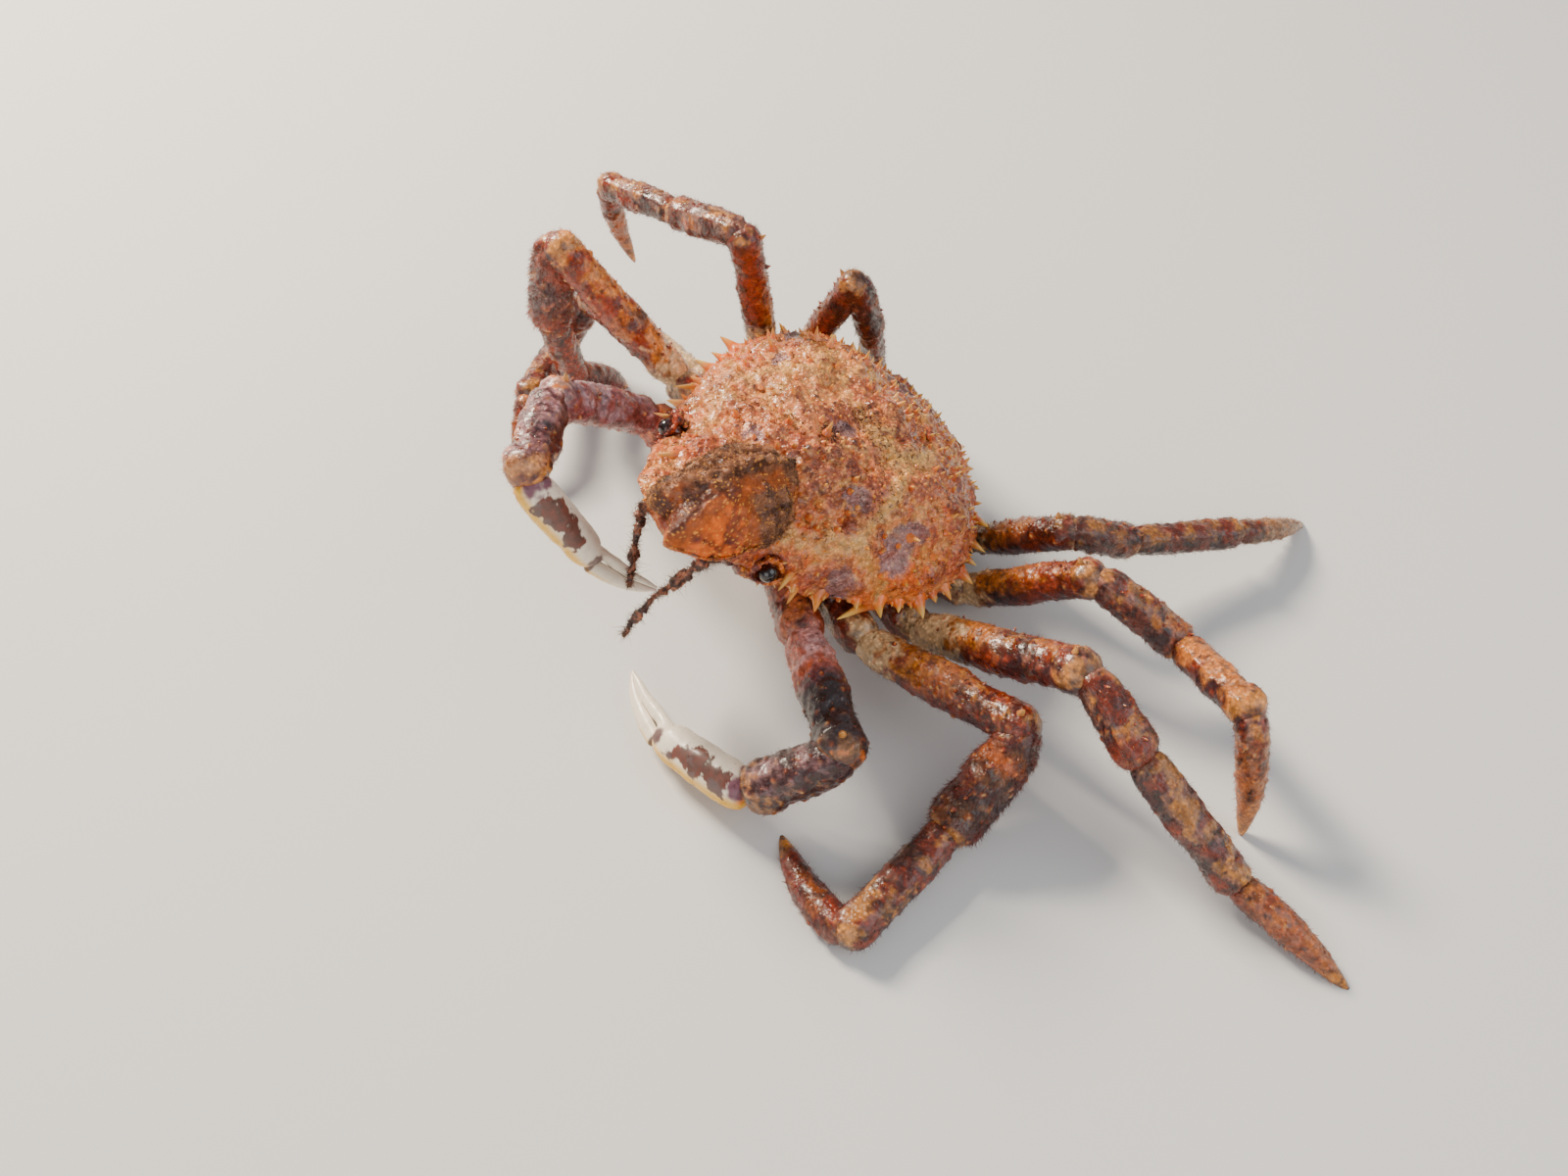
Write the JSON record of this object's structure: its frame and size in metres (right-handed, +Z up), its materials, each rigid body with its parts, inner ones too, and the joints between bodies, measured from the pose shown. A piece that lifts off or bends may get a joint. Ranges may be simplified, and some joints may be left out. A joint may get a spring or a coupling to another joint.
{
  "type": "giant spider crab",
  "caption": "Life-size still model of a spiny, pear-shaped spider crab standing on a flat floor, legs spread and bent, slim white claws, sponge on its snout.",
  "frame": {"origin": "on the floor, under the middle of the crab's bounding box", "axes": "+Z up; the crab faces -Y and its left side is at +X; X is the longest extent, from the foot of the front leg on the left to the raised leg on the right"},
  "size_m": [0.2274, 0.153, 0.0701],
  "materials": {
    "carapace_shell": "damp pinkish-tan shell with orange spines and purple-grey patches",
    "leg_shell": "damp rusty red-brown shell with tan blotches and short bristles",
    "claw_shell": "glossy white claw with a brown mottled patch and yellow edge",
    "eye": "glossy dark brown",
    "feeler": "dark, coated with stringy growth",
    "sponge": "wet brown and amber sponge"
  },
  "bodies": {
    "root": {"carapace": "carapace_shell", "thorax": "carapace_shell", "abdomen": "carapace_shell", "maxillipeds": "carapace_shell", "rostrum_sponge": "sponge", "eye_left": "eye", "eye_right": "eye", "antenna_left": "feeler", "antenna_right": "feeler", "cheliped_left_carpus": "leg_shell", "cheliped_left_finger": "claw_shell", "cheliped_left_hip": "leg_shell", "cheliped_left_merus": "leg_shell", "cheliped_left_palm": "claw_shell", "cheliped_right_carpus": "leg_shell", "cheliped_right_finger": "claw_shell", "cheliped_right_hip": "leg_shell", "cheliped_right_merus": "leg_shell", "cheliped_right_palm": "claw_shell", "leg_left_2_carpus": "leg_shell", "leg_left_2_dactyl": "leg_shell", "leg_left_2_hip": "leg_shell", "leg_left_2_merus": "leg_shell", "leg_left_2_propodus": "leg_shell", "leg_left_3_carpus": "leg_shell", "leg_left_3_dactyl": "leg_shell", "leg_left_3_hip": "leg_shell", "leg_left_3_merus": "leg_shell", "leg_left_3_propodus": "leg_shell", "leg_left_4_carpus": "leg_shell", "leg_left_4_dactyl": "leg_shell", "leg_left_4_hip": "leg_shell", "leg_left_4_merus": "leg_shell", "leg_left_4_propodus": "leg_shell", "leg_left_5_carpus": "leg_shell", "leg_left_5_dactyl": "leg_shell", "leg_left_5_hip": "leg_shell", "leg_left_5_merus": "leg_shell", "leg_left_5_propodus": "leg_shell", "leg_right_2_carpus": "leg_shell", "leg_right_2_dactyl": "leg_shell", "leg_right_2_hip": "leg_shell", "leg_right_2_merus": "leg_shell", "leg_right_2_propodus": "leg_shell", "leg_right_3_carpus": "leg_shell", "leg_right_3_dactyl": "leg_shell", "leg_right_3_hip": "leg_shell", "leg_right_3_merus": "leg_shell", "leg_right_3_propodus": "leg_shell", "leg_right_4_carpus": "leg_shell", "leg_right_4_dactyl": "leg_shell", "leg_right_4_hip": "leg_shell", "leg_right_4_merus": "leg_shell", "leg_right_4_propodus": "leg_shell", "leg_right_5_carpus": "leg_shell", "leg_right_5_dactyl": "leg_shell", "leg_right_5_hip": "leg_shell", "leg_right_5_merus": "leg_shell", "leg_right_5_propodus": "leg_shell"}
  },
  "joints": []
}
